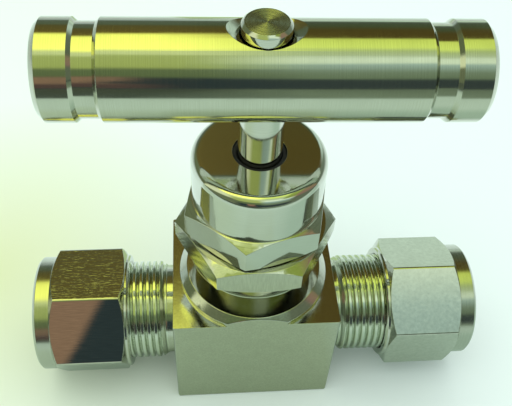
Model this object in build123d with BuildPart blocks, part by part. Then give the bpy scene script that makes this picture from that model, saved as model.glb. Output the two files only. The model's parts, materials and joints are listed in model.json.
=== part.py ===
from build123d import *
import os
from math import cos, radians, sin, tan

os.makedirs("parts", exist_ok=True)

# Needle valve for half-inch tube, in millimetres.
# X is the flow axis, Z is the stem axis, and the origin is where the stem axis meets the
# underside of the body block. The valve is closed, with its needle a hair off the seat.

# Body block and the round boss that takes the bonnet
body_width = 30.3
body_depth = 25.4
body_height = 26.2
body_edge = 0.25
boss_radius = 13.8
boss_height = 28.3
boss_chamfer = 1.35
flow_height = 13.57

# Tube ends: male thread outside, tube socket and ferrule cone inside
socket_radius = 6.42
socket_floor = 18.4
socket_cone_start = 28.0
socket_mouth_radius = 8.1
tube_end = 34.0
end_thread_radius = 9.525
end_thread_pitch = 1.27
end_thread_start = 16.5
end_thread_chamfer = 0.9
end_neck_radius = 8.65

# Flow passages, seat and chamber
orifice_radius = 2.9
seat_height = 11.5
inlet_low = 6.0
inlet_drop = 1.9
outlet_rise = 1.0
chamber_radius = 5.0
gasket_seat = 19.6
gasket_thickness = 1.0
gasket_bore = 5.2

# Bonnet: threaded shank, washer face, hexagon and threaded spigot
bonnet_thread_radius = 8.0
bonnet_thread_pitch = 1.0
bonnet_neck_radius = 7.3
bonnet_thread_bottom = 21.9
bonnet_thread_top = 26.6
washer_face_radius = 11.7
washer_face_bottom = 32.7
washer_face_top = 33.7
washer_face_chamfer = 0.7
hex_undercut_radius = 11.0
bonnet_hex_flats = 24.56
bonnet_hex_low = 37.2
bonnet_hex_high = 40.4
bonnet_hex_turn = -0.8
spigot_radius = 8.5
spigot_pitch = 1.0
spigot_neck_radius = 7.8
spigot_thread_start = 42.8
spigot_top = 53.6

# Stem, its thread and its travel
stem_radius = 3.546
stem_top = 81.43
stem_top_chamfer = 0.45
stem_thread_radius = 4.75
stem_thread_pitch = 1.27
stem_thread_bottom = 26.8
stem_thread_top = 33.4
stem_relief = 1.3
stem_relief_radius = 3.9
stem_collar_height = 0.8
stem_nose_radius = 4.3
stem_nose_bottom = 17.3
back_seat_height = 42.0

# Needle tip
needle_radius = 3.9
needle_end_radius = 0.9
needle_half_angle = 30
needle_shank_radius = 2.2
needle_shank_length = 4.2
seat_gap = 0.05

# Packing chamber and what fills it
packing_floor = 46.0
packing_radius = 6.3
gland_plain = 1.2
packing_ring_height = 1.6
packing_ridge = 0.6
upper_gland_height = 2.4

# Packing nut: hexagon below, polished cylinder above, one piece
cap_hex_flats = 22.4
cap_hex_low = 42.9
cap_hex_high = 47.0
cap_hex_turn = 18.1
cap_radius = 10.97
cap_top = 57.4
cap_rounding = 1.7
cap_bore_radius = 8.56
dust_pocket_radius = 4.35
dust_pocket_depth = 1.3
dust_ring_height = 1.1

# Handle bar and its set screw
handle_height = 73.3
handle_radius = 7.25
handle_length = 62.4
handle_turn = -1.4
handle_chamfer = 0.8
groove_inner = 22.45
groove_outer = 26.25
groove_depth = 0.55
handle_hole_radius = 3.75
countersink_radius = 5.5
countersink_half_angle = 60
screw_radius = 2.5
screw_pitch = 0.8
screw_key_flats = 2.5
screw_key_depth = 1.8
screw_inset = 0.5
stem_spot_depth = 0.4

# Tube nuts: a round collar in front, a hexagon with steep corner cones, a round shoulder behind
nut_flats = 22.22
nut_length = 17.5
nut_collar_radius = 11.0
nut_collar_length = 0.65
nut_hex_start = 1.5
nut_hex_end = 13.4
nut_shoulder_radius = 11.0
nut_shoulder_chamfer = 0.5
nut_thread_depth = 11.0
nut_cavity_radius = 8.75
nut_cavity_end = 13.0
nut_front_left = 23.77
nut_front_right = 25.55
nut_turn_left = 6.4
nut_turn_right = 24.4

# Ferrules
ferrule_bore_radius = 6.4
front_ferrule_nose = 29.3
front_ferrule_rear = 36.3
front_ferrule_radius = 8.4
front_ferrule_cup_radius = 7.5
rear_ferrule_nose = 35.45
rear_ferrule_rear = 38.4
rear_ferrule_radius = 8.3
rear_ferrule_rim = 0.75

# Clearances, thread form and edges
run_gap = 0.05
thread_depth_factor = 0.613
crest_factor = 0.125
root_factor = 0.25
hex_chamfer_angle = 30
corner_relief = 0.1
small_edge = 0.3
overrun = 1.0

flow_axis = Axis((0, 0, flow_height), (1, 0, 0))
flow_plane = Plane(origin=(0, 0, flow_height), x_dir=(1, 0, 0), z_dir=(0, 0, 1))
handle_direction = (cos(radians(handle_turn)), sin(radians(handle_turn)), 0)
handle_side = (-sin(radians(handle_turn)), cos(radians(handle_turn)), 0)
handle_axis = Axis((0, 0, handle_height), handle_direction)
handle_plane = Plane(origin=(0, 0, handle_height), x_dir=handle_direction, z_dir=(0, 0, 1))
screw_hole_plane = Plane(origin=(0, 0, handle_height), z_dir=handle_side)


def outline(points, plane=Plane.XZ):
    """A closed straight-sided face on the plane."""
    with BuildSketch(plane) as sketch:
        with BuildLine():
            Polyline(*points, close=True)
        make_face()
    return sketch.sketch


def root_of(crest, pitch):
    """Root radius of a male thread."""
    return crest - thread_depth_factor * pitch


def thread_teeth(start, end, crest, pitch):
    """Points (along, radius) over the crests and roots of a male thread, from start to end."""
    root = root_of(crest, pitch)
    half_crest = crest_factor * pitch / 2
    half_root = (1 - root_factor) * pitch / 2
    points = [(start, root)]
    for turn in range(int((end - start) / pitch)):
        middle = start + (turn + 0.5) * pitch
        points.append((middle - half_root, root))
        points.append((middle - half_crest, crest))
        points.append((middle + half_crest, crest))
        points.append((middle + half_root, root))
    points.append((end, root))
    return points


def upright(points):
    """The same points with the radius first, for a piece on the stem axis."""
    return [(radius, along) for along, radius in points]


def hexagon_ends(flats, low, high):
    """Bottom and top of a hexagon whose corners are chamfered outside low and high."""
    circle = flats / 2 - corner_relief
    corner = flats / 2 / cos(radians(30))
    rise = (corner - circle) * tan(radians(hex_chamfer_angle))
    return circle, corner, low - rise, high + rise


def upright_hexagon(flats, low, high, turn):
    """A chamfered hexagon on the stem axis."""
    circle, corner, bottom, top = hexagon_ends(flats, low, high)
    with BuildPart() as blank:
        with BuildSketch(Plane.XY.offset(bottom)):
            RegularPolygon(flats / 2, 6, major_radius=False, rotation=turn)
        extrude(amount=top - bottom)
        envelope = [
            (0, bottom),
            (circle, bottom),
            (corner, low),
            (corner, high),
            (circle, top),
            (0, top),
        ]
        revolve(outline(envelope), axis=Axis.Z, mode=Mode.INTERSECT)
    return blank.part


bonnet_hex_bottom, bonnet_hex_top = hexagon_ends(bonnet_hex_flats, bonnet_hex_low, bonnet_hex_high)[2:]
cap_hex_bottom = hexagon_ends(cap_hex_flats, cap_hex_low, cap_hex_high)[2]
gasket_top = gasket_seat + gasket_thickness
lower_gland_top = packing_floor + gland_plain
upper_gland_bottom = lower_gland_top + 3 * packing_ring_height
upper_gland_top = upper_gland_bottom + upper_gland_height
packing_middle = (stem_radius + packing_radius) / 2
stem_bore = stem_radius + run_gap


def label_and_write(piece, name):
    """Names a finished piece and writes it."""
    piece.label = name
    export_step(piece, f"parts/{name}.step")


# ---------------------------------------------------------------- body
def tube_end_blank(side):
    """Neck and male thread of one tube end, from inside the block to the mouth."""
    thread_finish = tube_end - end_thread_chamfer
    teeth = thread_teeth(end_thread_start, thread_finish, end_thread_radius, end_thread_pitch)
    mouth_rim = root_of(end_thread_radius, end_thread_pitch) - end_thread_chamfer / 2
    points = [
        (body_width / 2 - overrun, 0),
        (body_width / 2 - overrun, end_neck_radius),
        (end_thread_start, end_neck_radius),
        *teeth,
        (tube_end, mouth_rim),
        (tube_end, 0),
    ]
    return outline([(side * along, radius) for along, radius in points], flow_plane)


def tube_end_bore(side):
    """Tube socket and ferrule cone of one tube end."""
    points = [
        (socket_floor, 0),
        (socket_floor, socket_radius),
        (socket_cone_start, socket_radius),
        (tube_end, socket_mouth_radius),
        (tube_end + overrun, socket_mouth_radius),
        (tube_end + overrun, 0),
    ]
    return outline([(side * along, radius) for along, radius in points], flow_plane)


def passage(start, finish):
    """Straight drilled passage between two points on the valve's middle plane."""
    drill = Vector(*finish) - Vector(*start)
    with BuildPart() as hole:
        with BuildSketch(Plane(origin=start, x_dir=(0, 1, 0), z_dir=drill.normalized())):
            Circle(orifice_radius)
        extrude(amount=drill.length)
    return hole.part


with BuildPart() as body:
    boss = [
        (0, body_height - overrun),
        (boss_radius, body_height - overrun),
        (boss_radius, boss_height - boss_chamfer),
        (boss_radius - boss_chamfer, boss_height),
        (0, boss_height),
    ]
    revolve(outline(boss), axis=Axis.Z)
    with BuildSketch(Plane.XY):
        Rectangle(body_width, body_depth)
    extrude(amount=boss_height, mode=Mode.INTERSECT)
    with BuildSketch(Plane.XY) as footprint:
        Rectangle(body_width, body_depth)
        chamfer(footprint.vertices(), length=body_edge)
    extrude(amount=body_height)
    chamfer(body.faces().sort_by(Axis.Z)[0].outer_wire().edges(), length=body_edge)
    for side in (-1, 1):
        revolve(tube_end_blank(side), axis=flow_axis)
        revolve(tube_end_bore(side), axis=flow_axis, mode=Mode.SUBTRACT)
    mouth_radius = bonnet_thread_radius + run_gap
    chamber = [
        (0, seat_height),
        (chamber_radius, seat_height),
        (chamber_radius, gasket_seat),
        (mouth_radius, gasket_seat),
        (mouth_radius, boss_height - small_edge),
        (mouth_radius + small_edge, boss_height),
        (0, boss_height),
    ]
    revolve(outline(chamber), axis=Axis.Z, mode=Mode.SUBTRACT)
    with BuildSketch(Plane.XY.offset(inlet_low)):
        Circle(orifice_radius)
    extrude(amount=seat_height - inlet_low, mode=Mode.SUBTRACT)
    with Locations((0, 0, inlet_low)):
        Sphere(orifice_radius, mode=Mode.SUBTRACT)
    inlet_start = (socket_floor + overrun, 0, flow_height - inlet_drop)
    outlet_start = (-socket_floor - overrun, 0, flow_height + outlet_rise)
    outlet_end = (0, 0, flow_height + outlet_rise + small_edge)
    add(passage(inlet_start, (0, 0, inlet_low)), mode=Mode.SUBTRACT)
    add(passage(outlet_start, outlet_end), mode=Mode.SUBTRACT)

label_and_write(body.part, "body")

# ---------------------------------------------------------------- bonnet and its gasket
with BuildPart() as bonnet:
    add(upright_hexagon(bonnet_hex_flats, bonnet_hex_low, bonnet_hex_high, bonnet_hex_turn))
    shank_teeth = thread_teeth(
        bonnet_thread_bottom, bonnet_thread_top, bonnet_thread_radius, bonnet_thread_pitch
    )
    shank = [
        (0, gasket_top),
        (bonnet_neck_radius, gasket_top),
        (bonnet_neck_radius, bonnet_thread_bottom),
        *upright(shank_teeth),
        (bonnet_neck_radius, bonnet_thread_top),
        (bonnet_neck_radius, washer_face_bottom),
        (washer_face_radius - washer_face_chamfer, washer_face_bottom),
        (washer_face_radius, washer_face_bottom + washer_face_chamfer),
        (washer_face_radius, washer_face_top),
        (hex_undercut_radius, washer_face_top),
        (hex_undercut_radius, bonnet_hex_bottom + small_edge),
        (0, bonnet_hex_bottom + small_edge),
    ]
    revolve(outline(shank), axis=Axis.Z)
    spigot_teeth = thread_teeth(spigot_thread_start, spigot_top - small_edge, spigot_radius, spigot_pitch)
    spigot = [
        (0, bonnet_hex_top - overrun),
        (spigot_neck_radius, bonnet_hex_top - overrun),
        (spigot_neck_radius, spigot_thread_start),
        *upright(spigot_teeth),
        (spigot_neck_radius - small_edge, spigot_top),
        (0, spigot_top),
    ]
    revolve(outline(spigot), axis=Axis.Z)
    thread_bore = stem_thread_radius + run_gap
    bore = [
        (0, gasket_top - overrun),
        (thread_bore, gasket_top - overrun),
        (thread_bore, back_seat_height),
        (stem_bore, back_seat_height + thread_bore - stem_bore),
        (stem_bore, packing_floor),
        (packing_radius, packing_floor),
        (packing_radius, spigot_top + overrun),
        (0, spigot_top + overrun),
    ]
    revolve(outline(bore), axis=Axis.Z, mode=Mode.SUBTRACT)

label_and_write(bonnet.part, "bonnet")

with BuildPart() as bonnet_gasket:
    with BuildSketch(Plane.XY.offset(gasket_seat)):
        Circle(bonnet_thread_radius - run_gap)
        Circle(gasket_bore, mode=Mode.SUBTRACT)
    extrude(amount=gasket_thickness)

label_and_write(bonnet_gasket.part, "bonnet_gasket")

# ---------------------------------------------------------------- packing and glands
ring_inner = stem_bore
ring_outer = packing_radius - run_gap


def packing_piece(bottom, top, cup, ridge):
    """One ring of the packing stack: cup is the V cut below, ridge the V standing above."""
    with BuildPart() as piece:
        profile = [
            (ring_inner, bottom),
            (packing_middle, bottom + cup),
            (ring_outer, bottom),
            (ring_outer, top),
            (packing_middle, top + ridge),
            (ring_inner, top),
        ]
        revolve(outline(profile), axis=Axis.Z)
    return piece.part


label_and_write(packing_piece(packing_floor, lower_gland_top, 0, packing_ridge), "lower_gland")
for index, place in enumerate(("lower", "middle", "upper")):
    ring_bottom = lower_gland_top + index * packing_ring_height
    ring = packing_piece(ring_bottom, ring_bottom + packing_ring_height, packing_ridge, packing_ridge)
    label_and_write(ring, f"packing_ring_{place}")
label_and_write(packing_piece(upper_gland_bottom, upper_gland_top, packing_ridge, 0), "upper_gland")

# ---------------------------------------------------------------- packing nut and dust ring
with BuildPart() as packing_nut:
    add(upright_hexagon(cap_hex_flats, cap_hex_low, cap_hex_high, cap_hex_turn))
    with BuildSketch(Plane.XY.offset(cap_hex_high)):
        Circle(cap_radius)
    extrude(amount=cap_top - cap_hex_high)
    fillet(packing_nut.faces().sort_by(Axis.Z)[-1].edges(), radius=cap_rounding)
    cap_bore = [
        (0, cap_hex_bottom - overrun),
        (cap_bore_radius + small_edge, cap_hex_bottom - overrun),
        (cap_bore_radius + small_edge, cap_hex_bottom),
        (cap_bore_radius, cap_hex_bottom + small_edge),
        (cap_bore_radius, upper_gland_top),
        (stem_bore, upper_gland_top),
        (stem_bore, cap_top - dust_pocket_depth),
        (dust_pocket_radius, cap_top - dust_pocket_depth),
        (dust_pocket_radius, cap_top + overrun),
        (0, cap_top + overrun),
    ]
    revolve(outline(cap_bore), axis=Axis.Z, mode=Mode.SUBTRACT)

label_and_write(packing_nut.part, "packing_nut")

with BuildPart() as stem_dust_ring:
    with BuildSketch(Plane.XY.offset(cap_top - dust_pocket_depth)):
        Circle(dust_pocket_radius)
        Circle(stem_bore, mode=Mode.SUBTRACT)
    extrude(amount=dust_ring_height)
    fillet(stem_dust_ring.faces().sort_by(Axis.Z)[-1].edges(), radius=small_edge)

label_and_write(stem_dust_ring.part, "stem_dust_ring")

# ---------------------------------------------------------------- stem and needle tip
shank_bore = needle_shank_radius + run_gap
shank_top = stem_nose_bottom + needle_shank_length
with BuildPart() as stem:
    stem_teeth = thread_teeth(stem_thread_bottom, stem_thread_top, stem_thread_radius, stem_thread_pitch)
    collar_bottom = stem_thread_top + stem_relief
    collar_top = collar_bottom + stem_collar_height
    shaft = [
        (0, stem_nose_bottom),
        (stem_nose_radius - small_edge, stem_nose_bottom),
        (stem_nose_radius, stem_nose_bottom + small_edge),
        (stem_nose_radius, stem_thread_bottom - stem_relief),
        (stem_relief_radius, stem_thread_bottom - stem_relief),
        (stem_relief_radius, stem_thread_bottom),
        *upright(stem_teeth),
        (stem_relief_radius, stem_thread_top),
        (stem_relief_radius, collar_bottom),
        (stem_thread_radius, collar_bottom),
        (stem_thread_radius, collar_top),
        (stem_radius, collar_top + stem_thread_radius - stem_radius),
        (stem_radius, stem_top - stem_top_chamfer),
        (stem_radius - stem_top_chamfer, stem_top),
        (0, stem_top),
    ]
    revolve(outline(shaft), axis=Axis.Z)
    with BuildSketch(Plane.XY.offset(stem_nose_bottom)):
        Circle(shank_bore)
    extrude(amount=needle_shank_length + run_gap, mode=Mode.SUBTRACT)
    with BuildSketch(screw_hole_plane.offset(stem_radius - stem_spot_depth)):
        Circle(screw_radius + run_gap)
    extrude(amount=stem_radius, mode=Mode.SUBTRACT)

label_and_write(stem.part, "stem")

with BuildPart() as needle_tip:
    cone_top = seat_height + seat_gap + (needle_radius - orifice_radius) / tan(radians(needle_half_angle))
    cone_bottom = cone_top - (needle_radius - needle_end_radius) / tan(radians(needle_half_angle))
    tip = [
        (0, cone_bottom - small_edge),
        (needle_end_radius - small_edge, cone_bottom - small_edge),
        (needle_end_radius, cone_bottom),
        (needle_radius, cone_top),
        (needle_radius, stem_nose_bottom - run_gap),
        (needle_shank_radius, stem_nose_bottom - run_gap),
        (needle_shank_radius, shank_top - small_edge),
        (needle_shank_radius - small_edge, shank_top),
        (0, shank_top),
    ]
    revolve(outline(tip), axis=Axis.Z)

label_and_write(needle_tip.part, "needle_tip")

# ---------------------------------------------------------------- handle bar and set screw
half_bar = handle_length / 2
floor_radius = handle_radius - groove_depth
with BuildPart() as handle_bar:
    half_outline = [
        (0, 0),
        (0, handle_radius),
        (groove_inner, handle_radius),
        (groove_inner + groove_depth, floor_radius),
        (groove_outer - groove_depth, floor_radius),
        (groove_outer, handle_radius),
        (half_bar - handle_chamfer, handle_radius),
        (half_bar, handle_radius - handle_chamfer),
        (half_bar, 0),
    ]
    for side in (-1, 1):
        half = outline([(side * along, radius) for along, radius in half_outline], handle_plane)
        revolve(half, axis=handle_axis)
    flare_depth = (countersink_radius - handle_hole_radius) / tan(radians(countersink_half_angle))
    bar_top = handle_height + handle_radius
    bar_bottom = handle_height - handle_radius
    cross_hole = [
        (0, bar_bottom - overrun),
        (countersink_radius, bar_bottom - overrun),
        (countersink_radius, bar_bottom),
        (handle_hole_radius, bar_bottom + flare_depth),
        (handle_hole_radius, bar_top - flare_depth),
        (countersink_radius, bar_top),
        (countersink_radius, bar_top + overrun),
        (0, bar_top + overrun),
    ]
    revolve(outline(cross_hole), axis=Axis.Z, mode=Mode.SUBTRACT)
    with BuildSketch(screw_hole_plane):
        Circle(screw_radius + run_gap)
    extrude(amount=handle_radius + overrun, mode=Mode.SUBTRACT)

label_and_write(handle_bar.part, "handle_bar")

with BuildPart() as handle_set_screw:
    screw_start = stem_radius - stem_spot_depth
    screw_end = handle_radius - screw_inset
    screw_plane = Plane(origin=(0, 0, handle_height), x_dir=handle_side, z_dir=(0, 0, 1))
    teeth_start = screw_start + small_edge
    teeth_end = screw_end - small_edge
    screw_teeth = thread_teeth(teeth_start, teeth_end, screw_radius, screw_pitch)
    screw_root = root_of(screw_radius, screw_pitch)
    screw_outline = [
        (screw_start, 0),
        (screw_start, screw_root - small_edge),
        *screw_teeth,
        (screw_end, screw_root - small_edge),
        (screw_end, 0),
    ]
    revolve(outline(screw_outline, screw_plane), axis=Axis((0, 0, handle_height), handle_side))
    with BuildSketch(screw_hole_plane.offset(screw_end)):
        RegularPolygon(screw_key_flats / 2, 6, major_radius=False)
    extrude(amount=-screw_key_depth, mode=Mode.SUBTRACT)

label_and_write(handle_set_screw.part, "handle_set_screw")


# ---------------------------------------------------------------- tube nuts and ferrules
def tube_nut(side, front, turn):
    """One tube nut, its front face towards the block at the distance front."""
    corner = nut_flats / 2 / cos(radians(30))
    shoulder_start = nut_hex_end + (corner - nut_shoulder_radius) * tan(radians(hex_chamfer_angle))
    back_cone = nut_cavity_radius - ferrule_bore_radius - run_gap
    envelope = [
        (0, 0),
        (0, nut_collar_radius - nut_shoulder_chamfer / 2),
        (nut_shoulder_chamfer / 2, nut_collar_radius),
        (nut_collar_length, nut_collar_radius),
        (nut_hex_start, corner),
        (nut_hex_end, corner),
        (shoulder_start, nut_shoulder_radius),
        (nut_length - nut_shoulder_chamfer, nut_shoulder_radius),
        (nut_length, nut_shoulder_radius - nut_shoulder_chamfer),
        (nut_length, 0),
    ]
    thread_bore = end_thread_radius + run_gap
    bore = [
        (-overrun, 0),
        (-overrun, thread_bore + small_edge),
        (0, thread_bore + small_edge),
        (small_edge, thread_bore),
        (nut_thread_depth, thread_bore),
        (nut_thread_depth + thread_bore - nut_cavity_radius, nut_cavity_radius),
        (nut_cavity_end, nut_cavity_radius),
        (nut_cavity_end + back_cone, ferrule_bore_radius + run_gap),
        (nut_length - small_edge, ferrule_bore_radius + run_gap),
        (nut_length, ferrule_bore_radius + run_gap + small_edge),
        (nut_length + overrun, ferrule_bore_radius + run_gap + small_edge),
        (nut_length + overrun, 0),
    ]

    def placed(points):
        return outline([(side * (front + along), radius) for along, radius in points], flow_plane)

    with BuildPart() as nut:
        start = min(side * front, side * (front + nut_length))
        with BuildSketch(Plane(origin=(start, 0, flow_height), x_dir=(0, 1, 0), z_dir=(1, 0, 0))):
            RegularPolygon(nut_flats / 2, 6, major_radius=False, rotation=-turn)
        extrude(amount=nut_length)
        revolve(placed(envelope), axis=flow_axis, mode=Mode.INTERSECT)
        revolve(placed(bore), axis=flow_axis, mode=Mode.SUBTRACT)
    return nut.part


def front_ferrule(side):
    """Tapered sealing ferrule, resting in the cone of the tube end."""
    slope = (socket_mouth_radius - socket_radius) / (tube_end - socket_cone_start)
    nose_radius = socket_radius + slope * (front_ferrule_nose - socket_cone_start) - run_gap
    full = front_ferrule_nose + (front_ferrule_radius - nose_radius) / slope
    cup_depth = front_ferrule_cup_radius - ferrule_bore_radius
    profile = [
        (front_ferrule_nose, ferrule_bore_radius),
        (front_ferrule_nose, nose_radius),
        (full, front_ferrule_radius),
        (front_ferrule_rear, front_ferrule_radius),
        (front_ferrule_rear, front_ferrule_cup_radius),
        (front_ferrule_rear - cup_depth, ferrule_bore_radius),
    ]
    with BuildPart() as ferrule:
        revolve(outline([(side * x, radius) for x, radius in profile], flow_plane), axis=flow_axis)
    return ferrule.part


def rear_ferrule(side):
    """Gripping ferrule, its nose in the cup of the front one."""
    cup_apex = front_ferrule_rear - front_ferrule_cup_radius + ferrule_bore_radius
    nose_height = rear_ferrule_nose - cup_apex
    bevel = rear_ferrule_rear - front_ferrule_rear - rear_ferrule_rim
    profile = [
        (rear_ferrule_nose, ferrule_bore_radius),
        (rear_ferrule_nose, ferrule_bore_radius + nose_height - run_gap),
        (front_ferrule_rear, front_ferrule_cup_radius - run_gap),
        (front_ferrule_rear + run_gap, rear_ferrule_radius),
        (front_ferrule_rear + rear_ferrule_rim, rear_ferrule_radius),
        (rear_ferrule_rear, rear_ferrule_radius - bevel),
        (rear_ferrule_rear, ferrule_bore_radius),
    ]
    with BuildPart() as ferrule:
        revolve(outline([(side * x, radius) for x, radius in profile], flow_plane), axis=flow_axis)
    return ferrule.part


label_and_write(tube_nut(-1, nut_front_left, nut_turn_left), "tube_nut_left")
label_and_write(tube_nut(1, nut_front_right, nut_turn_right), "tube_nut_right")
for side, name in ((-1, "left"), (1, "right")):
    label_and_write(front_ferrule(side), f"front_ferrule_{name}")
    label_and_write(rear_ferrule(side), f"rear_ferrule_{name}")
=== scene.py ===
import bmesh
import bpy
import json
import math
from mathutils import Matrix, Vector

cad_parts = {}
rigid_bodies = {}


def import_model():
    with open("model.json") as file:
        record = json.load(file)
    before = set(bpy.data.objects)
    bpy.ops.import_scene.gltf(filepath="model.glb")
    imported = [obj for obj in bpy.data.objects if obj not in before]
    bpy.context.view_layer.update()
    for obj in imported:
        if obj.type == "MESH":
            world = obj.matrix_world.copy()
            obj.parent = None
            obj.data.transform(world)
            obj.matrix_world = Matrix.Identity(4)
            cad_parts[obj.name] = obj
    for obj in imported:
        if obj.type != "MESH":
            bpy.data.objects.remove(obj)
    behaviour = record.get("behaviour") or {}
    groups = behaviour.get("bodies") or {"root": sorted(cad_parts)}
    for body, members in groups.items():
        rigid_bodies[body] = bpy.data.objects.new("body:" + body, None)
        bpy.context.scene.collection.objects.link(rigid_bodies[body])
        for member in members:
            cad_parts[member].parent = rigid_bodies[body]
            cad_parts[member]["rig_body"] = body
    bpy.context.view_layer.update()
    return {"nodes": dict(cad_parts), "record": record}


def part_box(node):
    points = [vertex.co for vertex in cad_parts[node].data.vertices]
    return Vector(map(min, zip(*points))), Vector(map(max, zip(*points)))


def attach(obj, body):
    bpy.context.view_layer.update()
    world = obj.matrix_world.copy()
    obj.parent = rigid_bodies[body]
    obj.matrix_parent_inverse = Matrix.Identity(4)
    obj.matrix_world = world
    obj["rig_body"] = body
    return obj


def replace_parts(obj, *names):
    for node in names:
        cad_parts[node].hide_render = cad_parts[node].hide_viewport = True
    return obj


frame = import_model()

mm = 0.001

# Threads. Shares are of the pitch, and the rest of the pitch is the groove's floor. A thread's
# sleeve is sunk into its shaft, whose CAD rings are turned down a little past the sleeve's ends.
thread_depth_share = 0.613
thread_crest_share = 0.42
thread_flank_share = 0.26
thread_sink = 0.3 * mm
thread_overlap = 0.05 * mm
tube_thread_radius = 9.525 * mm
tube_thread_pitch = 1.27 * mm
tube_thread_length = 16.6 * mm
tube_end_chamfer = 0.9 * mm
spigot_thread_radius = 8.5 * mm
spigot_thread_pitch = 1.0 * mm
spigot_thread_length = 10.5 * mm
spigot_chamfer = 0.3 * mm

# Meshes: angles in degrees, and the widths of the rounded edges
weld_distance = 0.001 * mm
flat_angle = 0.5
sharp_angle = 25
turned_edge = 0.15 * mm
stem_edge = 0.1 * mm
block_edge = 0.2 * mm
nut_long_edge = 0.3 * mm
long_edge_length = 5 * mm
block_half_width = 15.15 * mm
block_margin = 0.3 * mm
underside_margin = 0.05 * mm
nut_shoulder_length = 4 * mm
top_face_margin = 0.02 * mm

# Metal: how far each noise pattern spreads, and how squarely an end face looks along its axis
pattern_range = (0.3, 0.7)
patch_range = (0.35, 0.65)
end_range = (0.982, 0.99)
dark_share = 0.82

# Degrees from the front horizon to the back one
half_turn = 180


# ---------------------------------------------------------------- places taken from the frame
def middle(node):
    low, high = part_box(node)
    return (low + high) / 2


x_axis = Vector((1, 0, 0))
z_axis = Vector((0, 0, 1))
stem_foot = Vector((0, 0, 0))
handle_turn = math.radians(-1.4)
handle_axis = Vector((math.cos(handle_turn), math.sin(handle_turn), 0))
flow_centre = Vector((0, 0, middle("tube_nut_left").z))
handle_centre = Vector((0, 0, middle("handle_bar").z))
slot_of = {part["node"]: part["material_slot"] for part in frame["record"]["subparts"]}


# ---------------------------------------------------------------- shader helpers
def add_node(tree, kind, inputs=None, **settings):
    """A node of that kind: settings are its properties, inputs its sockets by name or index."""
    node = tree.nodes.new("ShaderNode" + kind)
    for name, value in settings.items():
        setattr(node, name, value)
    for name, value in (inputs or {}).items():
        if isinstance(value, bpy.types.NodeSocket):
            tree.links.new(value, node.inputs[name])
        else:
            node.inputs[name].default_value = value
    return node


def maths(tree, operation, first, second=0.0):
    return add_node(tree, "Math", {0: first, 1: second}, operation=operation).outputs[0]


def vector_maths(tree, operation, first, second, output="Vector"):
    node = add_node(tree, "VectorMath", {0: first, 1: second}, operation=operation)
    return node.outputs[output]


def object_place(tree):
    """The point on the surface, in the valve's own frame."""
    return add_node(tree, "TexCoord").outputs["Object"]


def remap(tree, value, low, high, to_low, to_high):
    """Maps the range from low to high onto the one from to_low to to_high, and clamps it."""
    inputs = {"Value": value, "From Min": low, "From Max": high, "To Min": to_low, "To Max": to_high}
    return add_node(tree, "MapRange", inputs, clamp=True).outputs[0]


def within(tree, value, low, high, soft):
    """One between low and high, falling to zero over the soft distance outside them."""
    rising = remap(tree, value, low - soft, low, 0.0, 1.0)
    return maths(tree, "MULTIPLY", rising, remap(tree, value, high, high + soft, 1.0, 0.0))


def mix_colours(tree, factor, first, second):
    node = add_node(tree, "Mix", data_type="RGBA")
    for index, value in ((0, factor), (6, first), (7, second)):
        if isinstance(value, bpy.types.NodeSocket):
            tree.links.new(value, node.inputs[index])
        elif index == 0:
            node.inputs[index].default_value = value
        else:
            node.inputs[index].default_value = (*value, 1)
    return node.outputs[2]


def colour_ramp(tree, factor, stops):
    """A linear ramp with (position, colour) stops."""
    node = add_node(tree, "ValToRGB", {0: factor})
    ramp = node.color_ramp
    while len(ramp.elements) > 1:
        ramp.elements.remove(ramp.elements[0])
    for index, (position, colour) in enumerate(stops):
        element = ramp.elements[0] if index == 0 else ramp.elements.new(position)
        element.position = position
        element.color = (*colour, 1)
    return node.outputs[0]


# ---------------------------------------------------------------- camera
def make_camera():
    """A close view from the front and above, a little from the left."""
    place = Vector((-9.27, -80.414, 137.106)) * mm
    yaw, pitch, roll = (math.radians(angle) for angle in (-6.478, 49.429, -3.337))
    level = Vector((-math.sin(yaw), math.cos(yaw), 0))
    forward = math.cos(pitch) * level - math.sin(pitch) * z_axis
    right = Vector((math.cos(yaw), math.sin(yaw), 0))
    down = forward.cross(right)
    image_right = math.cos(roll) * right + math.sin(roll) * down
    image_down = -math.sin(roll) * right + math.cos(roll) * down
    camera = bpy.data.objects.new("camera", bpy.data.cameras.new("camera"))
    axes = Matrix((image_right, -image_down, -forward)).transposed().to_4x4()
    camera.matrix_world = Matrix.Translation(place) @ axes
    camera.data.sensor_width = 36
    camera.data.lens = 50.53
    camera.data.shift_x = 0.0012
    camera.data.shift_y = 0.0182
    camera.data.clip_start = 0.005
    bpy.context.scene.collection.objects.link(camera)
    bpy.context.scene.camera = camera


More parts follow.
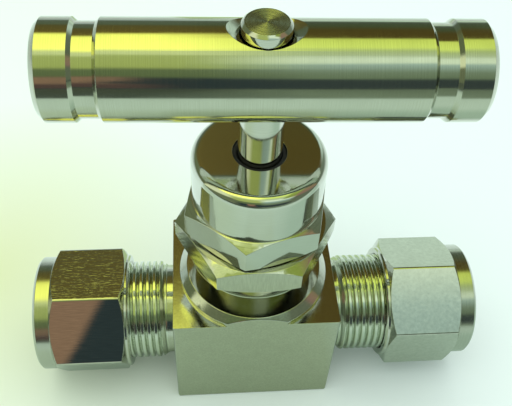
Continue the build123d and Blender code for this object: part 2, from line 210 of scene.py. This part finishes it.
# ---------------------------------------------------------------- studio
# Each side of the studio is bands of light and dark round the X axis. Their angles are in degrees,
# from the front horizon over the top to the back horizon.
left_side = [
    (0, (0.035, 0.055, 0.058)),
    (20, (0.035, 0.055, 0.058)),
    (26, (0.15, 0.21, 0.09)),
    (39, (0.16, 0.22, 0.10)),
    (45, (0.50, 0.62, 0.18)),
    (68, (0.52, 0.64, 0.20)),
    (72, (0.85, 1.00, 0.45)),
    (78, (0.85, 1.00, 0.45)),
    (84, (1.80, 1.90, 0.38)),
    (119, (1.60, 1.70, 0.32)),
    (125, (0.17, 0.13, 0.03)),
    (148, (0.13, 0.12, 0.04)),
    (152, (0.12, 0.16, 0.09)),
    (169, (0.13, 0.17, 0.12)),
    (173, (0.50, 0.62, 0.58)),
    (180, (0.58, 0.70, 0.66)),
]
right_side = [
    (0, (0.05, 0.07, 0.067)),
    (17, (0.05, 0.07, 0.067)),
    (22, (0.20, 0.28, 0.17)),
    (34, (0.24, 0.33, 0.22)),
    (51, (0.48, 0.68, 0.59)),
    (55, (0.95, 1.15, 0.86)),
    (64, (0.95, 1.15, 0.86)),
    (69, (0.65, 0.80, 0.50)),
    (80, (0.58, 0.74, 0.32)),
    (89, (0.98, 1.20, 0.26)),
    (109, (0.86, 1.04, 0.20)),
    (113, (0.11, 0.08, 0.02)),
    (136, (0.10, 0.08, 0.02)),
    (150, (0.08, 0.11, 0.05)),
    (168, (0.09, 0.12, 0.08)),
    (174, (0.68, 0.88, 0.70)),
    (180, (0.72, 0.95, 0.78)),
]
left_end = [
    (0, (0.18, 0.22, 0.12)),
    (48, (0.18, 0.22, 0.12)),
    (56, (0.95, 1.05, 0.65)),
    (84, (0.95, 1.05, 0.65)),
    (95, (0.16, 0.20, 0.10)),
    (160, (0.16, 0.20, 0.10)),
    (172, (0.55, 0.70, 0.62)),
]
right_end = [
    (0, (0.16, 0.20, 0.13)),
    (48, (0.16, 0.20, 0.13)),
    (56, (0.34, 0.22, 0.17)),
    (84, (0.34, 0.26, 0.15)),
    (95, (0.14, 0.18, 0.11)),
    (160, (0.20, 0.26, 0.19)),
    (172, (0.50, 0.62, 0.54)),
]


def bands_round(tree, share, stops):
    """The colour of a list of bands, where share is 0 at the front horizon and 1 at the back."""
    return colour_ramp(tree, share, [(angle / half_turn, colour) for angle, colour in stops])


def brown_card(tree, bands, share, side):
    """Lays a brown card low in front, on the left, with a slanted edge towards the middle."""
    slanted = maths(tree, "SUBTRACT", maths(tree, "MULTIPLY", share, 1.65), 0.293)
    falling = maths(tree, "SUBTRACT", 0.0575, maths(tree, "MULTIPLY", share, 4.05))
    edge = maths(tree, "MAXIMUM", maths(tree, "MINIMUM", slanted, -0.14),
                 maths(tree, "MINIMUM", falling, -0.1))
    left_of_edge = remap(tree, maths(tree, "SUBTRACT", side, edge), -0.008, 0.004, 1.0, 0.0)
    card = maths(tree, "MULTIPLY", left_of_edge, remap(tree, side, -0.36, -0.32, 0.0, 1.0))
    low_front = remap(tree, share, 22 / half_turn, 26 / half_turn, 1.0, 0.0)
    above_shade = remap(tree, share, 7 / half_turn, 11 / half_turn, 0.0, 1.0)
    brown = mix_colours(tree, above_shade, (0.12, 0.08, 0.07), (0.34, 0.22, 0.14))
    return mix_colours(tree, maths(tree, "MULTIPLY", card, low_front), bands, brown)


def studio_bands(tree, parts):
    """What polished metal sees of the studio, in each direction."""
    angle = maths(tree, "ARCTAN2", parts["Z"], maths(tree, "MULTIPLY", parts["Y"], -1.0))
    share = maths(tree, "DIVIDE", angle, math.pi)
    across = maths(tree, "ADD", maths(tree, "POWER", parts["Y"], 2.0),
                   maths(tree, "POWER", parts["Z"], 2.0))
    side = maths(tree, "DIVIDE", parts["X"], maths(tree, "SQRT", across))
    rightness = remap(tree, side, -0.04, 0.12, 0.0, 1.0)
    bands = mix_colours(tree, rightness, bands_round(tree, share, left_side),
                        bands_round(tree, share, right_side))
    bands = brown_card(tree, bands, share, side)
    far_right = maths(tree, "MULTIPLY", remap(tree, side, 0.43, 0.55, 0.0, 1.0),
                      remap(tree, share, 130 / half_turn, 150 / half_turn, 0.0, 1.0))
    bands = mix_colours(tree, far_right, bands, (0.65, 0.85, 0.72))
    overhead_right = maths(tree, "MULTIPLY", remap(tree, side, 0.4, 0.5, 0.0, 1.0),
                           within(tree, share, 62 / half_turn, 98 / half_turn, 4 / half_turn))
    bands = mix_colours(tree, overhead_right, bands, (0.33, 0.44, 0.09))
    at_left_end = remap(tree, side, -0.8, -0.55, 1.0, 0.0)
    bands = mix_colours(tree, at_left_end, bands, bands_round(tree, share, left_end))
    at_right_end = remap(tree, side, 0.7, 1.0, 0.0, 1.0)
    bands = mix_colours(tree, at_right_end, bands, bands_round(tree, share, right_end))
    front = remap(tree, parts["Y"], -0.1, 0.1, 1.0, 0.0)
    under = mix_colours(tree, front, (0.75, 0.85, 0.70), (0.06, 0.08, 0.07))
    below = remap(tree, parts["Z"], -0.02, 0.0, 1.0, 0.0)
    return mix_colours(tree, below, bands, under)


def make_world():
    """A soft studio round the valve, warmer on the left. Only reflections show its bands."""
    world = bpy.data.worlds.new("studio")
    bpy.context.scene.world = world
    world.use_nodes = True
    tree = world.node_tree
    tree.nodes.clear()
    direction = add_node(tree, "TexCoord").outputs["Generated"]
    bands = studio_bands(tree, add_node(tree, "SeparateXYZ", {0: direction}).outputs)
    ray = add_node(tree, "LightPath").outputs
    colour = mix_colours(tree, ray["Is Glossy Ray"], (0.88, 0.95, 0.94), bands)
    colour = mix_colours(tree, ray["Is Camera Ray"], colour, (0.64, 0.76, 0.74))
    background = add_node(tree, "Background", {"Color": colour, "Strength": 1.0})
    output = add_node(tree, "OutputWorld")
    tree.links.new(background.outputs[0], output.inputs["Surface"])
    world.cycles.sampling_method = "NONE"


def paper_with_painted_light(tree, rightness):
    """The paper's colour with painted light on it: a painted cooler light on the right, and a
    painted pool of soft yellow light beside the left nut.
    """
    # Painted cooler light towards the right.
    tint = mix_colours(tree, rightness, (0.81, 0.91, 0.81), (0.80, 0.90, 0.86))
    # A painted pool of warm light, brightest at this point and fading over six centimetres.
    distance = vector_maths(tree, "DISTANCE", object_place(tree), (-0.06, 0.02, 0), "Value")
    painted_warm_light = remap(tree, distance, 0.0, 0.06, 1.0, 0.0)
    return mix_colours(tree, painted_warm_light, tint, (0.69, 0.76, 0.44))


def mirrored_painted_shade(tree, parts, rightness):
    """The paper as the metal sees it, with painted light and shade: painted light behind the valve,
    painted shade round it, a painted shadow of the valve behind it, and painted shade far in front.
    """
    # Painted shade on the paper round the valve, darkest beside the block.
    beside_block = within(tree, parts["X"], -0.016, 0.016, 0.006)
    tint = mix_colours(tree, rightness, (0.54, 0.66, 0.50), (0.44, 0.58, 0.47))
    tint = mix_colours(tree, beside_block, tint, (0.43, 0.54, 0.38))
    ahead = remap(tree, parts["Y"], -0.065, -0.035, 1.0, 0.0)
    tint = mix_colours(tree, ahead, tint, (0.58, 0.71, 0.60))
    # Painted shade far in front of the valve.
    far_ahead = remap(tree, parts["Y"], -0.175, -0.165, 1.0, 0.0)
    dim = mix_colours(tree, rightness, (0.06, 0.08, 0.07), (0.20, 0.26, 0.18))
    tint = mix_colours(tree, far_ahead, tint, dim)
    # Painted light on the paper behind the valve.
    behind = remap(tree, parts["Y"], -0.005, 0.015, 0.0, 1.0)
    tint = mix_colours(tree, behind, tint, (0.80, 0.92, 0.86))
    # A painted shadow of the valve on the paper behind it.
    far_behind = remap(tree, parts["Y"], 0.02, 0.03, 0.0, 1.0)
    painted_valve_shadow = maths(tree, "MULTIPLY", beside_block, far_behind)
    return mix_colours(tree, painted_valve_shadow, tint, (0.50, 0.64, 0.34))


def make_floor():
    """A pale table top, with painted light on its colour and painted shade in what the metal sees of
    it.
    """
    half = 1.5
    mesh = bpy.data.meshes.new("floor")
    corners = [(-half, -half, 0), (half, -half, 0), (half, half, 0), (-half, half, 0)]
    mesh.from_pydata(corners, [], [(0, 1, 2, 3)])
    floor = bpy.data.objects.new("floor", mesh)
    bpy.context.scene.collection.objects.link(floor)
    material, tree, shader = start_material("floor_paper")
    parts = add_node(tree, "SeparateXYZ", {0: object_place(tree)}).outputs
    rightness = remap(tree, parts["X"], -0.05, 0.04, 0.0, 1.0)
    # Reflections see the paper with painted shade, and everything else sees it with painted light.
    reflected = add_node(tree, "LightPath").outputs["Is Glossy Ray"]
    tint = mix_colours(tree, reflected, paper_with_painted_light(tree, rightness),
                       mirrored_painted_shade(tree, parts, rightness))
    tree.links.new(tint, shader.inputs["Base Color"])
    shader.inputs["Roughness"].default_value = 0.6
    mesh.materials.append(material)


def make_lights():
    """One wide soft light overhead, which lights the table and leaves reflections to the studio."""
    light = bpy.data.lights.new("overhead", "AREA")
    light.shape = "RECTANGLE"
    light.size = 0.5
    light.size_y = 0.4
    light.energy = 0.8
    light.color = (0.97, 1.0, 0.97)
    lamp = bpy.data.objects.new("overhead", light)
    lamp.location = (-0.03, 0.04, 0.45)
    lamp.rotation_euler = (-lamp.location).to_track_quat("-Z", "Y").to_euler()
    lamp.visible_glossy = False
    bpy.context.scene.collection.objects.link(lamp)


# ---------------------------------------------------------------- marks on metal and plastic
def start_material(name):
    material = bpy.data.materials.new(name)
    material.use_nodes = True
    tree = material.node_tree
    return material, tree, tree.nodes["Principled BSDF"]


def turned_lines(tree, origin, axis, pitch):
    """Fine tool lines round an axis: along a cylinder, and in circles on an end face."""
    local = vector_maths(tree, "SUBTRACT", object_place(tree), tuple(origin))
    along = vector_maths(tree, "DOT_PRODUCT", local, tuple(axis), "Value")
    out = vector_maths(tree, "CROSS_PRODUCT", local, tuple(axis))
    radius = add_node(tree, "VectorMath", {0: out}, operation="LENGTH").outputs["Value"]
    phase = maths(tree, "DIVIDE", maths(tree, "ADD", along, radius), pitch)
    return add_node(tree, "TexNoise", {"W": phase, "Scale": 1.0, "Detail": 3.0},
                    noise_dimensions="1D").outputs["Fac"]


def grain(tree, length, width, axis):
    """Brushed grain: long along the numbered axis and narrow across it."""
    stretch = [1 / width] * 3
    stretch[axis] = 1 / length
    mapped = add_node(tree, "Mapping", {"Vector": object_place(tree), "Scale": stretch}).outputs[0]
    return add_node(tree, "TexNoise", {"Vector": mapped, "Scale": 1.0, "Detail": 4.0}).outputs["Fac"]


def blotches(tree, size):
    settings = {"Vector": object_place(tree), "Scale": 1 / size, "Detail": 4.0}
    return add_node(tree, "TexNoise", settings).outputs["Fac"]


def add_bump(tree, shader, height, depth):
    bump = add_node(tree, "Bump", {"Height": height, "Strength": 1.0, "Distance": depth})
    tree.links.new(bump.outputs[0], shader.inputs["Normal"])


def metal(name, colour, roughness, spread, marks, depth,
          end_axis=None, end_gain=1.0, end_dulling=0.0):
    """A bare metal whose roughness, tint and bump all follow its own tool marks.

    The marks are a pattern function with its settings. With an end axis, the faces that look
    along it have marks end_gain times as deep and are duller."""
    material, tree, shader = start_material(name)
    pattern_of, *settings = marks
    pattern = pattern_of(tree, *settings)
    patches = blotches(tree, 3 * mm)
    dark = tuple(dark_share * channel for channel in colour)
    tint = mix_colours(tree, remap(tree, pattern, *pattern_range, 0.0, 1.0), dark, colour)
    tint = mix_colours(tree, remap(tree, patches, *patch_range, 0.0, 0.35), tint, dark)
    tree.links.new(tint, shader.inputs["Base Color"])
    mixed = maths(tree, "ADD", maths(tree, "MULTIPLY", pattern, 0.6),
                  maths(tree, "MULTIPLY", patches, 0.4))
    rough = remap(tree, mixed, *pattern_range, roughness - spread, roughness + spread)
    height = pattern
    if end_axis is not None:
        normal = add_node(tree, "TexCoord").outputs["Normal"]
        facing = vector_maths(tree, "DOT_PRODUCT", normal, tuple(end_axis), "Value")
        gain = remap(tree, facing, *end_range, 1.0, end_gain)
        height = maths(tree, "MULTIPLY", pattern, gain)
        rough = maths(tree, "ADD", rough, remap(tree, facing, *end_range, 0.0, end_dulling))
    tree.links.new(rough, shader.inputs["Roughness"])
    add_bump(tree, shader, height, depth)
    shader.inputs["Metallic"].default_value = 1.0
    return material


def turned_end():
    """A faced end: the rings of the lathe tool spread its reflections along the radius."""
    material = metal("turned_end", (0.68, 0.72, 0.60), 0.27, 0.03,
                     (turned_lines, stem_foot, z_axis, 0.3 * mm), 0.0008 * mm)
    tree = material.node_tree
    shader = tree.nodes["Principled BSDF"]
    shader.inputs["Anisotropic"].default_value = 1.0
    shader.inputs["Anisotropic Rotation"].default_value = 0.25
    rings = add_node(tree, "Tangent", direction_type="RADIAL", axis="Z")
    tree.links.new(rings.outputs[0], shader.inputs["Tangent"])
    return material


def soft_material(name, colour, roughness, size, depth):
    """Plastic or rubber with a fine moulded surface."""
    material, tree, shader = start_material(name)
    pattern = blotches(tree, size)
    pale = tuple(min(1.0, 1.25 * channel) for channel in colour)
    tint = mix_colours(tree, remap(tree, pattern, *patch_range, 0.0, 1.0), colour, pale)
    tree.links.new(tint, shader.inputs["Base Color"])
    spread = 0.08
    rough = remap(tree, pattern, *pattern_range, roughness - spread, roughness + spread)
    tree.links.new(rough, shader.inputs["Roughness"])
    add_bump(tree, shader, pattern, depth)
    return material


def make_materials():
    """The material of each slot in the record."""
    return {
        "body_steel": metal("body_steel", (0.66, 0.67, 0.60), 0.11, 0.03,
                            (blotches, 0.3 * mm), 0.003 * mm),
        "bonnet_steel": metal("bonnet_steel", (0.68, 0.69, 0.62), 0.10, 0.04,
                              (grain, 2 * mm, 0.2 * mm, 2), 0.003 * mm),
        "packing_nut_steel": metal("packing_nut_steel", (0.74, 0.75, 0.69), 0.08, 0.03,
                                   (turned_lines, stem_foot, z_axis, 0.1 * mm), 0.0003 * mm),
        "stem_steel": metal("stem_steel", (0.72, 0.72, 0.66), 0.08, 0.03,
                            (turned_lines, stem_foot, z_axis, 0.12 * mm), 0.0006 * mm),
        "handle_steel": metal("handle_steel", (0.66, 0.67, 0.58), 0.12, 0.06,
                              (turned_lines, handle_centre, handle_axis, 0.12 * mm), 0.0013 * mm),
        "nut_steel": metal("nut_steel", (0.70, 0.70, 0.65), 0.09, 0.04,
                           (blotches, 0.7 * mm), 0.0025 * mm),
        "ferrule_steel": metal("ferrule_steel", (0.70, 0.70, 0.67), 0.15, 0.05,
                               (turned_lines, flow_centre, x_axis, 0.1 * mm), 0.001 * mm),
        "gasket_silver": metal("gasket_silver", (0.78, 0.78, 0.75), 0.2, 0.05,
                               (turned_lines, stem_foot, z_axis, 0.1 * mm), 0.001 * mm),
        "screw_steel": metal("screw_steel", (0.07, 0.07, 0.07), 0.35, 0.08,
                             (blotches, 0.3 * mm), 0.002 * mm),
        "packing_white": soft_material("packing_white", (0.78, 0.78, 0.75), 0.45,
                                       0.4 * mm, 0.002 * mm),
        "ring_rubber": soft_material("ring_rubber", (0.02, 0.02, 0.02), 0.6,
                                     0.15 * mm, 0.003 * mm),
    }


def finish_nodes():
    """Every CAD node gets its slot's material, and the left nut a filed one."""
    materials = make_materials()
    for node, slot in slot_of.items():
        piece = frame["nodes"][node]
        piece.data.materials.clear()
        piece.data.materials.append(materials[slot])
    frame["nodes"]["tube_nut_left"].data.materials[0] = metal(
        "nut_steel_filed", (0.67, 0.67, 0.60), 0.03, 0.015, (grain, 2.4 * mm, 0.18 * mm, 0),
        0.001 * mm, end_axis=z_axis, end_gain=42.0, end_dulling=0.05)


# ---------------------------------------------------------------- pieces with rounded edges
def welded_copy(node):
    """The node's surface as one closed mesh, with its corners joined."""
    work = bmesh.new()
    work.from_mesh(frame["nodes"][node].data)
    bmesh.ops.remove_doubles(work, verts=work.verts, dist=weld_distance)
    return work


def turn_down(work, origin, axis, start, finish, radius):
    """Shrinks what stands outside the radius, between two places along the axis, to it."""
    for vert in work.verts:
        local = vert.co - origin
        along = local.dot(axis)
        out = local - along * axis
        if start < along < finish and out.length > radius:
            vert.co = origin + along * axis + radius * out.normalized()


def round_edges(work, width, keep):
    """Bevels the sharp edges that pass the keep test."""
    bmesh.ops.dissolve_limit(work, angle_limit=math.radians(flat_angle), verts=work.verts,
                             edges=work.edges)
    work.normal_update()
    sharp = [
        edge for edge in work.edges
        if len(edge.link_faces) == 2 and math.degrees(edge.calc_face_angle()) > sharp_angle
        and keep(edge)
    ]
    bmesh.ops.bevel(work, geom=sharp, offset=width, offset_type="OFFSET", segments=3, profile=0.5,
                    affect="EDGES", clamp_overlap=True, loop_slide=True)


def finish_mesh(work, name, node, crease=35):
    """Turns the worked mesh into a smooth-shaded piece that rides where the node rides."""
    for face in work.faces:
        face.smooth = True
    mesh = bpy.data.meshes.new(name)
    work.to_mesh(mesh)
    work.free()
    mesh.set_sharp_from_angle(angle=math.radians(crease))
    source = frame["nodes"][node]
    mesh.materials.append(source.data.materials[0])
    piece = bpy.data.objects.new(name, mesh)
    bpy.context.scene.collection.objects.link(piece)
    weighting = piece.modifiers.new("weighting", "WEIGHTED_NORMAL")
    weighting.keep_sharp = True
    weighting.weight = 100
    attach(piece, source["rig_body"])
    return piece


def rounded_piece(node, width, long_width=None):
    """A copy of a CAD node with its edges rounded, the long straight ones wider if asked."""
    work = welded_copy(node)
    if long_width:
        round_edges(work, long_width, lambda edge: edge.calc_length() > long_edge_length)
    round_edges(work, width, lambda edge: True)
    piece = finish_mesh(work, node + "_rounded", node)
    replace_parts(piece, node)
    return piece


def finish_faces(piece, material, test):
    """Gives a second material to the faces whose middle passes the test."""
    piece.data.materials.append(material)
    for face in piece.data.polygons:
        if test(face.center):
            face.material_index = 1


# ---------------------------------------------------------------- threads
def thread_height(phase):
    """Share of the full thread height at a phase from 0 to 1, with the crest in the middle."""
    beyond_crest = abs(phase - 0.5) - thread_crest_share / 2
    slope = min(max(beyond_crest / thread_flank_share, 0.0), 1.0)
    return 1 - slope * slope * (3 - 2 * slope)


def add_ring(work, centre, axis, radii):
    """A ring of vertices round the axis, one for each radius."""
    across = axis.orthogonal().normalized()
    other = axis.cross(across)
    ring = []
    for index, radius in enumerate(radii):
        angle = 2 * math.pi * index / len(radii)
        out = math.cos(angle) * across + math.sin(angle) * other
        ring.append(work.verts.new(centre + radius * out))
    return ring


def helical_thread(node, name, origin, axis, start, finish, crest, pitch, material):
    """A closed sleeve with a right-hand thread, sunk a little into the node that it dresses."""
    depth = thread_depth_share * pitch
    root = crest - depth
    columns, rows_per_turn = 96, 14
    rows = round((finish - start) / pitch * rows_per_turn)
    work = bmesh.new()
    rings = []
    for row in range(rows + 1):
        along = start + (finish - start) * row / rows
        fade = min(1.0, (along - start) / pitch, (finish - along) / pitch)
        phases = [(along / pitch - column / columns) % 1.0 for column in range(columns)]
        radii = [root + depth * fade * thread_height(phase) for phase in phases]
        rings.append(add_ring(work, origin + along * axis, axis, radii))
    for along in (finish, start):
        rings.append(add_ring(work, origin + along * axis, axis, [root - thread_sink] * columns))
    for index, ring in enumerate(rings):
        following = rings[(index + 1) % len(rings)]
        for column in range(columns):
            beside = (column + 1) % columns
            work.faces.new((ring[column], ring[beside], following[beside], following[column]))
    work.normal_update()
    if work.calc_volume(signed=True) < 0:
        bmesh.ops.reverse_faces(work, faces=work.faces)
    finish_mesh(work, name, node, crease=60).data.materials[0] = material


def dress_thread(work, node, name, origin, axis, start, finish, crest, pitch, material):
    """Takes the node's ring grooves down to their root and lays a helical thread over them."""
    root = crest - thread_depth_share * pitch
    turn_down(work, origin, axis, start - thread_overlap, finish + thread_overlap, root)
    helical_thread(node, name, origin, axis, start, finish, crest, pitch, material)


# ---------------------------------------------------------------- the valve's outer pieces
def dressed_body():
    """The body with rounded edges and real helical threads on its tube ends."""
    work = welded_copy("body")
    thread_metal = metal("thread_steel", (0.73, 0.77, 0.68), 0.14, 0.04,
                         (turned_lines, flow_centre, x_axis, 0.1 * mm), 0.0005 * mm)
    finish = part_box("body")[1].x - tube_end_chamfer
    start = finish - tube_thread_length
    for axis, name in ((x_axis, "right"), (-x_axis, "left")):
        dress_thread(work, "body", f"tube_thread_{name}", flow_centre, axis, start, finish,
                     tube_thread_radius, tube_thread_pitch, thread_metal)

    def on_block(edge):
        place = (edge.verts[0].co + edge.verts[1].co) / 2
        return abs(place.x) < block_half_width + block_margin and place.z > underside_margin

    round_edges(work, block_edge, on_block)
    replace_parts(finish_mesh(work, "body_rounded", "body"), "body")


def dressed_bonnet():
    """The bonnet with rounded edges and a helical thread on its spigot, under the packing nut."""
    work = welded_copy("bonnet")
    bonnet_metal = frame["nodes"]["bonnet"].data.materials[0]
    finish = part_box("bonnet")[1].z - spigot_chamfer
    start = finish - spigot_thread_length
    dress_thread(work, "bonnet", "spigot_thread", stem_foot, z_axis, start, finish,
                 spigot_thread_radius, spigot_thread_pitch, bonnet_metal)
    round_edges(work, turned_edge, lambda edge: True)
    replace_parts(finish_mesh(work, "bonnet_rounded", "bonnet"), "bonnet")


def dressed_tube_nuts():
    """Both tube nuts with rounded edges, and lathe lines on their round shoulders."""
    shoulder_metal = metal("turned_shoulder", (0.60, 0.61, 0.55), 0.19, 0.07,
                           (turned_lines, flow_centre, x_axis, 0.15 * mm), 0.001 * mm)
    for side in ("left", "right"):
        node = f"tube_nut_{side}"
        low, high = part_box(node)
        outer_end = max(-low.x, high.x)
        finish_faces(rounded_piece(node, turned_edge, nut_long_edge), shoulder_metal,
                     lambda place: abs(place.x) > outer_end - nut_shoulder_length)


def dressed_stem():
    """The stem with rounded edges and the lathe's rings on its top face."""
    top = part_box("stem")[1].z
    finish_faces(rounded_piece("stem", stem_edge), turned_end(),
                 lambda place: place.z > top - top_face_margin)


make_camera()
make_world()
make_floor()
make_lights()
finish_nodes()
dressed_body()
dressed_bonnet()
rounded_piece("packing_nut", turned_edge)
rounded_piece("handle_bar", turned_edge)
dressed_tube_nuts()
dressed_stem()
bpy.context.scene.view_settings.view_transform = "Standard"
